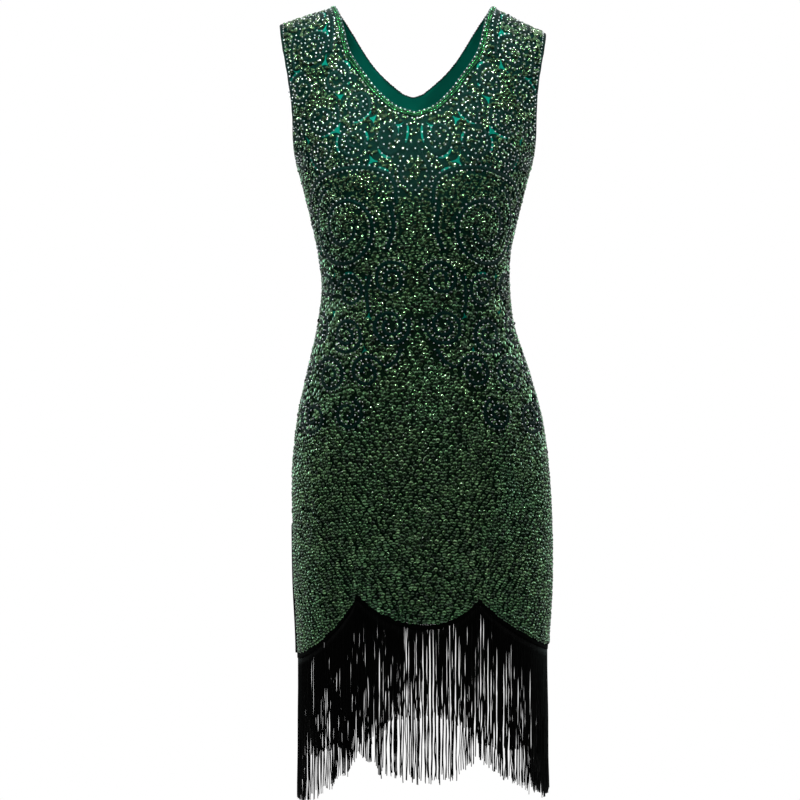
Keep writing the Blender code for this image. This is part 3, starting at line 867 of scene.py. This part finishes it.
bugle = smallShape("bugle", bugleShape)
for face in (front, back):
    edge, inward = neckEdge(face)
    rows = [evenly(edge + inward * row, bugles["gap"]) for row in bugles["rows"]]
    flat = np.concatenate(rows)
    ahead = np.concatenate([unit(np.gradient(row, axis=0)) for row in rows])
    points, normals, _, _ = onCloth(face, flat, bugles["lift"])
    along = unit(onCloth(face, flat + ahead * mm, bugles["lift"])[0] - points)
    frames = (along, unit(np.cross(normals, along)), normals)
    beadPiece(f"bugles{faceNames[face]}", bugle, points, frames, 1.0, bugles["vary"], bugleGlass)


# sequins

sequins = {
    "rowGap": 4.5 * mm, "columnGap": 6.5 * mm, "firstRow": 2.5 * mm, "highest": 1.5 * mm, "columns": 45,
    # each row wanders: amount and length in mm, turn from row to row
    "wander": [(2.2, 17, 0.22), (1.1, 7, -0.4)], "jitter": 0.7 * mm,
    "radius": 3.1 * mm, "vary": (0.88, 1.08), "lift": 1.15 * mm, "liftVary": (-0.2, 0.3), "sides": 10,
    # the domed middle's radius, edge and crown and then the rim's height, in sequin radii
    "dome": (0.62, 0.12, 0.24), "rim": -0.24,
    # each band of the dress up to its top: how much the tilt varies and how many have flipped
    "bandTops": [-0.52, -0.27], "spread": {"Skirt": 7, "Waist": 8, "Yoke": 12.5},
    "strays": {"Skirt": 0.02, "Waist": 0.06, "Yoke": 0.2}, "tilt": 8, "strayTurn": 18, "shade": (0.44, 0.25),
    "yokeSize": 0.88, "yokeShare": 0.88, "yokeEnd": 250 * mm,
    "besideGap": 5.3 * mm, "besideOffset": 0.1 * mm, "besideJitter": 0.3 * mm, "apart": 4.1 * mm,
    "inset": 0.6 * mm,
    "edge": 2.4 * mm, "hemGap": 5.4 * mm, "hemInset": 1.5 * mm, "aboveHem": 2.2 * mm,
    "ventTop": -0.70, "ventWidth": 5 * mm,
    # how far sequins keep off each window: share of its size, and mm
    "windowClear": (0.42, 1.8),
    # the three-cornered places between curls that show bare teal: across, down, size, turn
    "windows": [(112, 104, 9, 20), (152, 104, 7, 80), (93, 152, 9, 200), (52, 190, 9, 100),
                (98, 196, 10, 10), (143, 200, 8, 60), (53, 236, 9, 170), (112, 58, 8, 130),
                (20, 206, 6, 90), (60, 430, 5, 20), (114, 424, 6, 80), (68, 472, 5, 40), (112, 378, 5, 10)],
}


def sequinShape(bm):
    # a cup: a faintly domed middle and one sloping ring, parted so that the edge between them stays crisp
    radius, edge, crown = sequins["dome"]
    for parted in (False, True):
        made = bmesh.ops.create_circle(bm, cap_ends=not parted, cap_tris=True, segments=sequins["sides"],
                                       radius=radius)["verts"]
        for vert in made:
            vert.co.z = edge if vert.co.xy.length > 0.5 * radius else crown
    edges = list(dict.fromkeys(e for v in made for e in v.link_edges))
    grown = bmesh.ops.extrude_edge_only(bm, edges=edges)["geom"]
    outer = [item for item in grown if isinstance(item, bmesh.types.BMVert)]
    bmesh.ops.scale(bm, vec=(1 / radius, 1 / radius, 1), verts=outer)
    bmesh.ops.translate(bm, vec=(0, 0, sequins["rim"] - edge), verts=outer)
    bmesh.ops.recalc_face_normals(bm, faces=bm.faces)
    for item in bm.faces:
        if item.normal.z < 0:
            item.normal_flip()


def nearTape(face, flat):
    near = np.zeros(len(flat), bool)
    for path, reach in tapePaths[face]:
        low, high = path.min(0) - reach, path.max(0) + reach
        chosen = np.flatnonzero(((flat > low) & (flat < high)).all(1) & ~near)
        if len(chosen):
            gaps = np.linalg.norm(flat[chosen][:, None, :] - path[None, :, :], axis=2).min(1)
            near[chosen[gaps < reach]] = True
    return near


def apartFrom(flat, others, gap):
    tree = spotTree(others)
    return np.array([tree.find((*spot, 0))[2] for spot in flat]) >= gap


def besideTapes(face):
    # rows of sequins run along both sides of every tape
    flat = np.concatenate([
        evenly(path + sideways(path) * way * (reach + sequins["besideOffset"]), sequins["besideGap"])
        for path, reach in tapePaths[face] for way in (-1, 1)])
    flat = flat[~nearTape(face, flat)]
    yoke = flat[:, 1] < sequins["yokeEnd"]
    return np.concatenate([spacedOut(flat[yoke], sequins["apart"] * sequins["yokeShare"]),
                           spacedOut(flat[~yoke], sequins["apart"])])


def hemRow(face):
    # the last row of sequins follows the scallops
    across, down = np.arange(0.5, 400) * mm, cloth[face]["down"][-90:]
    rows = []
    for side in (-1, 1):
        flat = np.stack(np.meshgrid(side * across, down, indexing="ij"), axis=-1)
        points, _, _, angle = onCloth(face, flat)
        gap = np.abs(points[..., 2] - scallopHeight(angle, side) - sequins["edge"])
        line = np.stack([side * across, down[gap.argmin(1)]], axis=1)
        line = line[across < edgeAcross(face, line, "last") - sequins["hemInset"]]
        rows.append(evenly(line, sequins["hemGap"]))
    return np.concatenate(rows)


def clothSpots(face):
    # staggered rows, closer together on the yoke, that make way for the rows beside the tapes
    yokeShare, yokeEnd, rowGap = sequins["yokeShare"], sequins["yokeEnd"], sequins["rowGap"]
    closeRows = np.arange(sequins["firstRow"], yokeEnd, rowGap * yokeShare)
    otherRows = np.arange(closeRows[-1] + rowGap, cloth[face]["down"][-1], rowGap)
    rows = []
    for number, down in enumerate([*closeRows, *otherRows]):
        gap = sequins["columnGap"] * (yokeShare if down < yokeEnd else 1)
        across = (np.arange(-sequins["columns"], sequins["columns"] + 1) + 0.5 * (number % 2)) * gap
        wander = sum(amount * mm * np.sin(across / (length * mm) + number * turn)
                     for amount, length, turn in sequins["wander"])
        rows.append(np.stack([across, down + wander], axis=1))
    flat = np.concatenate(rows)
    flat = flat + dice.normal(0, sequins["jitter"], flat.shape)
    beside = besideTapes(face)
    apart = sequins["apart"] * np.where(flat[:, 1] < yokeEnd, yokeShare, 1.0)
    flat = flat[apartFrom(flat, beside, apart)]
    flat = np.concatenate([beside + dice.normal(0, sequins["besideJitter"], beside.shape), flat])
    flat[:, 1] = np.maximum(flat[:, 1], sequins["highest"])
    size = np.abs(flat[:, 0])
    flat = flat[(size >= edgeAcross(face, flat, "first") - 1e-9)
                & (size <= edgeAcross(face, flat, "last") - sequins["inset"])]
    flat = flat[~nearTape(face, flat)]
    share, margin = sequins["windowClear"]
    for across, down, size, _ in sequins["windows"]:
        away = np.hypot(np.abs(flat[:, 0]) - across * mm, flat[:, 1] - down * mm)
        flat = flat[away > (size * share + margin) * mm]
    return flat


def sequinFrames(flat, normals, downs, bands):
    # every sequin leans a little its own way, and a few have flipped on their threads
    rights, ups, normals = upright(normals, downs)
    count = len(flat)
    across, down = flat.T / mm
    spread, strays = (np.array(list(sequins[key].values()))[bands] for key in ("spread", "strays"))
    spread = np.where(dice.uniform(0, 1, count) < strays, sequins["strayTurn"], spread)
    sway = 5 * np.sin(across / 13 + 2 * np.sin(down / 31)) + 4 * np.sin(down / 9 + across / 23)
    tilt = np.radians(sequins["tilt"] + spread * dice.normal(0, 1, count) + 0.08 * spread * sway)[:, None]
    roll = 1.3 * spread * dice.normal(0, 1, count) + 0.6 * spread * np.sin(down / 15 - across / 19)
    lean = np.radians(roll)[:, None]
    faceWay = normals * np.cos(tilt) - ups * np.sin(tilt)
    upWay = ups * np.cos(tilt) + normals * np.sin(tilt)
    return (rights * np.cos(lean) - faceWay * np.sin(lean), upWay,
            faceWay * np.cos(lean) + rights * np.sin(lean))


sequin = smallShape("cupSequin", sequinShape)
for face in (front, back):
    flat, hemSpots = clothSpots(face), hemRow(face)
    onHem = np.arange(len(flat) + len(hemSpots)) >= len(flat)
    flat = np.concatenate([flat, hemSpots])
    lifts = sequins["lift"] + dice.uniform(*sequins["liftVary"], len(flat)) * mm
    points, normals, downs, angle = onCloth(face, flat, lifts)
    hemAt = np.where(flat[:, 0] >= 0, scallopHeight(angle, 1), scallopHeight(angle, -1))
    inside = onHem | (points[:, 2] > hemAt + sequins["edge"] + sequins["aboveHem"])
    atVent = (face == front) & (flat[:, 0] < 0) & (points[:, 2] < sequins["ventTop"])
    inside &= ~(atVent & (np.abs(flat[:, 0]) > edgeAcross(face, flat, "last") - sequins["ventWidth"]))
    points, count = points[inside], inside.sum()
    bands = np.digitize(points[:, 2], sequins["bandTops"])
    frames = sequinFrames(flat[inside], normals[inside], downs[inside], bands)
    shades = np.clip(dice.normal(*sequins["shade"], count), 0, 0.96)
    sizes = sequins["radius"] * np.where(bands == 2, sequins["yokeSize"], 1.0)
    sizes = sizes * dice.uniform(*sequins["vary"], count)
    # three bands down the dress keep each piece light
    for band, word in enumerate(sequins["spread"]):
        pick = bands == band
        name = f"sequins{faceNames[face]}{word}"
        mesh = scatter(name, sequin, points[pick], [way[pick] for way in frames], sizes[pick], shades[pick])
        finishPiece(name, mesh, sequinFoil)
    print("sequins", face, count)


# bare teal between the curls
bare = {"lift": 0.4 * mm, "corners": 18, "cusp": 0.6, "scale": 1 / 4.2, "taper": 0.6, "taperEnd": 0.15}
for face in (front, back):
    bm, uvLayer = newSheet("cloth")
    for across, down, size, turn in sequins["windows"]:
        c, s = math.cos(math.radians(turn)), math.sin(math.radians(turn))
        for mirror in (-1, 1):
            made = bmesh.ops.create_circle(bm, cap_ends=True, segments=bare["corners"], radius=1.0)
            for vert in made["verts"]:
                t = math.atan2(vert.co.y, vert.co.x)
                cusped = np.array([2 * math.cos(t) + math.cos(2 * t), 2 * math.sin(t) - math.sin(2 * t)])
                u, v = cusped * np.hypot(*cusped) ** bare["cusp"] * size * mm * bare["scale"]
                spot = np.array([mirror * (across * mm + u * c - v * s), down * mm + u * s + v * c])
                vert.co = onCloth(face, spot[None, :], bare["lift"])[0][0]
                for loop in vert.link_loops:
                    loop[uvLayer].uv = spot
    for path in sliverPaths:
        taper = np.sin(np.linspace(bare["taperEnd"], math.pi - bare["taperEnd"], len(path))) ** bare["taper"]
        edges = np.outer(taper, [-1, 1]) * slivers["halfWidth"]
        flat = path[:, None, :] + sideways(path)[:, None, :] * edges[..., None]
        gridSheet(bm, onCloth(face, flat, bare["lift"])[0], flat, uvLayer)
    bmesh.ops.recalc_face_normals(bm, faces=bm.faces)
    for patch in bm.faces:
        if patch.normal.y * face < 0:
            patch.normal_flip()
    name = f"bareTeal{faceNames[face]}"
    finishPiece(name, meshFrom(bm, name), paintedLitNet)


# the bound vent edge on the wearer's right: its section across and out, in mm
vent = {"rows": 25, "columns": 9, "section": [(-4.2, 0.2), (-3.2, 1.7), (0, 2.7), (3.2, 1.7), (4.2, 0.2)]}
hemLine = levelLine(front, cut["hemStart"])
rows = clothRows(front, -1, [hemLine] * vent["rows"], vent["columns"], np.linspace(0, 1, vent["rows"]))
seamLine, seamOut = rows["points"][:, -1], rows["normals"][:, -1]
acrossSeam = unit(np.cross(unit(np.gradient(seamLine, axis=0)), seamOut))
bm = bmesh.new()
points = [seamLine + acrossSeam * a * mm + seamOut * b * mm for a, b in vent["section"]]
gridSheet(bm, np.stack(points, axis=1))
ventTape = sheetPiece("ventTape", bm, 0, blackTape, ["vent_tape"])


# the fringe

fringe = {
    "radius": 0.68 * mm, "segments": 18, "sides": 4, "wave": 0.7 * mm, "lock": 4.3 * mm, "lowest": -0.998,
    "columns": 241, "first": 0.3 * mm, "uneven": 3.2 * mm, "drift": 0.9 * mm, "depth": 1.2 * mm,
    # behind it is cut to an arch, but for the strands near the side seams
    "arch": {"height": -0.949, "rise": 0.038, "middle": 3, "width": 24, "longer": 0.09},
    # gap between strands in mm by the angle round the body from the centre line, wearer's right to left
    "gaps": {front: [(-90, 1.7), (-72, 1.7), (-55, 1.6), (-46, 1.2), (-42, .65), (-35, .7), (-32, 1.2),
                     (-26, 1.45), (-18, 1.55), (0, 1.5), (19, 1.55), (26, 1.35), (30, 1.5), (34, 1.0),
                     (37, .8), (45, 1.1), (60, 1.2), (66, .75), (90, 1.0)],
             back: [(-90, 1.1), (-40, 1.0), (-9, .95), (-5, 1.9), (17, 2.1), (21, .95), (50, 1.0),
                    (90, 1.1)]},
    # each strand's own: how far on it starts, how it clings to its lock, its wave, its bend and its size
    "step": (0.7, 1.3), "cling": (0.72, 0.98), "rate": (1.2, 2.6), "bend": (0.4, 1.5), "vary": (0.8, 1.25),
}


def archEnd(angle):
    arch = fringe["arch"]
    rise = arch["rise"] * math.exp(-((angle - arch["middle"]) / arch["width"]) ** 4)
    uncut = np.clip((angle - 63) / 5, 0, 1) + np.clip((-angle - 76) / 10, 0, 1)
    return arch["height"] + rise - arch["longer"] * uncut


def strandTops(face):
    # for each strand: its top, its way out, its distance along the tape and the height of its end
    gapAngles, gaps = np.array(fringe["gaps"][face]).T
    endDrop = cut["fringeReach"] + (cut["hemStart"] - cut["hemCentre"]) * (1 - cut["fringeEndShare"])
    tops = []
    for side in (-1, 1):
        rows = clothRows(face, side, [hemLine] * 3, fringe["columns"], [1.0, 1.0, cut["fringeEndShare"]],
                         [cut["tapeHeight"] * 0.8, cut["tapeHeight"], endDrop])
        line, normals, angles = rows["points"][1], rows["normals"][1], rows["angle"][1]
        length = travelled(line[:, :2])
        columns = [*line.T, *normals.T, angles, rows["points"][2, :, 2]]
        place = fringe["first"]
        while place < length[-1]:
            *spot, angle, end = (np.interp(place, length, column) for column in columns)
            angle = side * np.degrees(angle)
            if face == back:
                end = max(end, archEnd(angle))
            tops.append([*spot, side * place, end])
            place += np.interp(angle, gapAngles, gaps) * mm * dice.uniform(*fringe["step"])
    return np.array(tops)


def fringeMesh(name, face):
    # strands hang from the tape, cling in locks and wander a little
    tops = strandTops(face)
    count, levels, sides = len(tops), fringe["segments"] + 1, fringe["sides"]
    out = unit(tops[:, 3:6] * (1, 1, 0))
    way = np.stack([-out[:, 1], out[:, 0], np.zeros(count)], axis=1)
    lock = fringe["lock"]
    centre = np.round(tops[:, 6] / lock + 0.35 * np.sin(tops[:, 6] * 310)) * lock - tops[:, 6]
    sign = np.sign(np.sum(np.roll(tops[:, :3], -1, axis=0) * way - tops[:, :3] * way, axis=1))
    reach = tops[:, 2] - np.maximum(tops[:, 7] - dice.normal(0, fringe["uneven"], count), fringe["lowest"])
    cling = dice.uniform(*fringe["cling"], count)
    drift = dice.normal(0, fringe["drift"], count)
    depth = dice.normal(0, fringe["depth"], count)
    t = np.linspace(0, 1, levels)
    wave1, wave2 = dice.uniform(0, 6.28, (2, count, 1))
    rate = dice.uniform(*fringe["rate"], (count, 1))
    bend = fringe["wave"] * dice.uniform(*fringe["bend"], (count, 1))
    swing = (bend * (np.sin(rate * 6.28 * t + wave1) - np.sin(wave1)) * t ** 0.7
             + 0.45 * bend * np.sin(5.3 * 6.28 * t * rate / 2 + wave2) * t)
    aside = (centre * cling * sign)[:, None] * t ** 0.8 + swing + drift[:, None] * t ** 1.5
    inOut = depth[:, None] * t + 0.6 * bend * np.cos(rate * 5.1 * t + wave2) * t - fringe["depth"]
    spine = tops[:, None, :3] + way[:, None, :] * aside[..., None] + out[:, None, :] * inOut[..., None]
    spine[..., 2] -= reach[:, None] * t
    radius = fringe["radius"] * dice.uniform(*fringe["vary"], count)[:, None] * (1 - 0.25 * t ** 6)
    corners = np.linspace(0, 2 * math.pi, sides, endpoint=False)[:, None]
    ring = way[:, None, :] * np.cos(corners) + out[:, None, :] * np.sin(corners)
    tubes = spine[:, :, None, :] + ring[:, None, :, :] * radius[:, :, None, None]
    base = np.arange((levels - 1) * sides)
    beside = base - base % sides + (base + 1) % sides
    quads = np.stack([base, base + sides, beside + sides, beside], axis=1)
    caps = np.array([np.arange(sides), (levels - 1) * sides + np.arange(sides)[::-1]])
    strand = np.concatenate([quads, caps])
    loops = (np.arange(count)[:, None, None] * levels * sides + strand).ravel()
    mesh = facesMesh(name, tubes.reshape(-1, 3), loops, np.full(count * len(strand), strand.shape[1]))
    # one map runs round and down each strand in millimetres, the other packs the strands side by side
    roundWay, downWay = np.tile(np.arange(sides) / sides, levels), np.repeat(t, sides)
    twist = np.broadcast_arrays(roundWay * 4, downWay * reach[:, None] / mm * 0.5)
    slot = (np.arange(count)[:, None] + 0.15 + 0.7 * np.abs(roundWay * 2 - 1)) / count
    packed = np.broadcast_arrays(slot, 0.01 + 0.98 * downWay)
    for label, values in (("twist", twist), ("OFBake", packed)):
        addMap(mesh, label, np.stack(values, axis=2), loops)
    mesh.update(calc_edges=True)
    print("strands", face, count)
    return mesh


for face in (front, back):
    mesh = fringeMesh(f"fringe{faceNames[face]}", face)
    finishPiece(mesh.name, mesh, blackRayon, [f"fringe_{faceNames[face].lower()}"])
print("fringe ready")


# what goes with each net panel
for face in (front, back):
    trims = [bpy.data.objects[name + faceNames[face]]
             for name in ("scrollTapes", "neckBand", "beads", "bugles", "hemTape", "fringe")]
    trims += [bpy.data.objects[f"sequins{faceNames[face]}{band}"] for band in sequins["spread"]]
    if face == front:
        trims += [ventTape]


# studio

studio = {"floor": -1.40, "floorRadius": 0.95, "camera": (-0.019, -3.2, -0.497), "lens": 113.6}

bm = bmesh.new()
bmesh.ops.create_circle(bm, cap_ends=True, segments=64, radius=studio["floorRadius"])
bmesh.ops.translate(bm, vec=(0, 0, studio["floor"]), verts=bm.verts)
floor = newObject("studioFloor", meshFrom(bm, "studioFloor", False))
floorPaint, tree, shader = newMaterial("palePaperFloor", {"Roughness": 0.9})
paint(tree, shader, noise(tree, objectPlace(tree), 60.0, 4.0), [(0.3, "#f1f1f1"), (0.7, "#f7f7f7")])
floor.data.materials.append(floorPaint)

world = bpy.data.worlds.new("studioWorld")
bpy.context.scene.world = world
world.use_nodes = True
tree = world.node_tree
tree.nodes.clear()
# the camera sees white paper; the dress sees a dark room, a broad light overhead and a pale sweep behind
direction = addNode(tree, "ShaderNodeTexCoord").outputs["Generated"]
parts = addNode(tree, "ShaderNodeSeparateXYZ", links={0: direction}).outputs
ahead = addNode(tree, "ShaderNodeMath", {"operation": "MINIMUM", 1: 0.0}, {0: parts["Y"]}).outputs[0]
raised = addNode(tree, "ShaderNodeMath", {"operation": "MULTIPLY_ADD", 1: 0.6}, {0: ahead, 2: parts["Z"]})
overhead = fromTo(tree, raised.outputs[0], -0.1, 0.3, 0.05, 0.95)
behind = fromTo(tree, parts["Y"], 0.1, 0.9, 0.05, 0.24)
both = addNode(tree, "ShaderNodeMath", {"operation": "MAXIMUM"}, {0: overhead, 1: behind})
room = addNode(tree, "ShaderNodeBackground", {"Color": (1, 1, 1, 1)}, {"Strength": both.outputs[0]})
paper = addNode(tree, "ShaderNodeBackground", {"Color": (1, 1, 1, 1), "Strength": 1.0})
seen = addNode(tree, "ShaderNodeLightPath").outputs["Is Camera Ray"]
chosen = addNode(tree, "ShaderNodeMixShader", links={0: seen, 1: room.outputs[0], 2: paper.outputs[0]})
addNode(tree, "ShaderNodeOutputWorld", links={0: chosen.outputs[0]})


def areaLight(name, place, target, size, power, spread=180, colour="#ffffff"):
    data = bpy.data.lights.new(name, "AREA")
    data.shape = "RECTANGLE"
    data.size, data.size_y = size
    data.energy = power
    data.spread = math.radians(spread)
    data.color = toLinear(colour)[:3]
    lamp = newObject(name, data)
    lamp.location = place
    lamp.rotation_euler = (Vector(target) - Vector(place)).to_track_quat("-Z", "Y").to_euler()


# gridded lamps on the bust, the shoulders and the neck, then cooler ones from the sides and from behind
areaLight("keyLight", (-0.5, -2.9, 0.95), (0, 0, -0.08), (0.45, 0.36), 1.0, 17)
areaLight("shoulderLight", (-0.1, -0.5, 1.9), (0, -0.03, -0.02), (0.25, 0.25), 0.25, 10)
areaLight("neckLight", (1.15, -1.6, 1.4), (-0.05, -0.1, -0.1), (0.2, 0.2), 0.6, 9)
areaLight("leftLight", (-2.4, -1.7, 0.8), (0, 0, -0.3), (0.3, 0.3), 1.8, colour="#e4fffa")
areaLight("sideLight", (2.3, -1.5, 0.4), (0, 0, -0.4), (0.3, 0.4), 2.0, colour="#e4fffa")
areaLight("rimLeft", (-1.6, 1.0, -0.1), (0, 0, -0.2), (0.4, 1.1), 7, colour="#dcfffa")
areaLight("rimRight", (1.7, 0.9, -0.1), (0, 0, -0.2), (0.3, 1.1), 7, colour="#dcfffa")

cameraData = bpy.data.cameras.new("camera")
cameraData.lens = studio["lens"]
cameraData.sensor_width = 36
cameraData.clip_end = 50
camera = newObject("camera", cameraData)
camera.location = studio["camera"]
camera.rotation_euler = (math.radians(90), 0, 0)
bpy.context.scene.camera = camera
bpy.context.scene.view_settings.view_transform = "Standard"
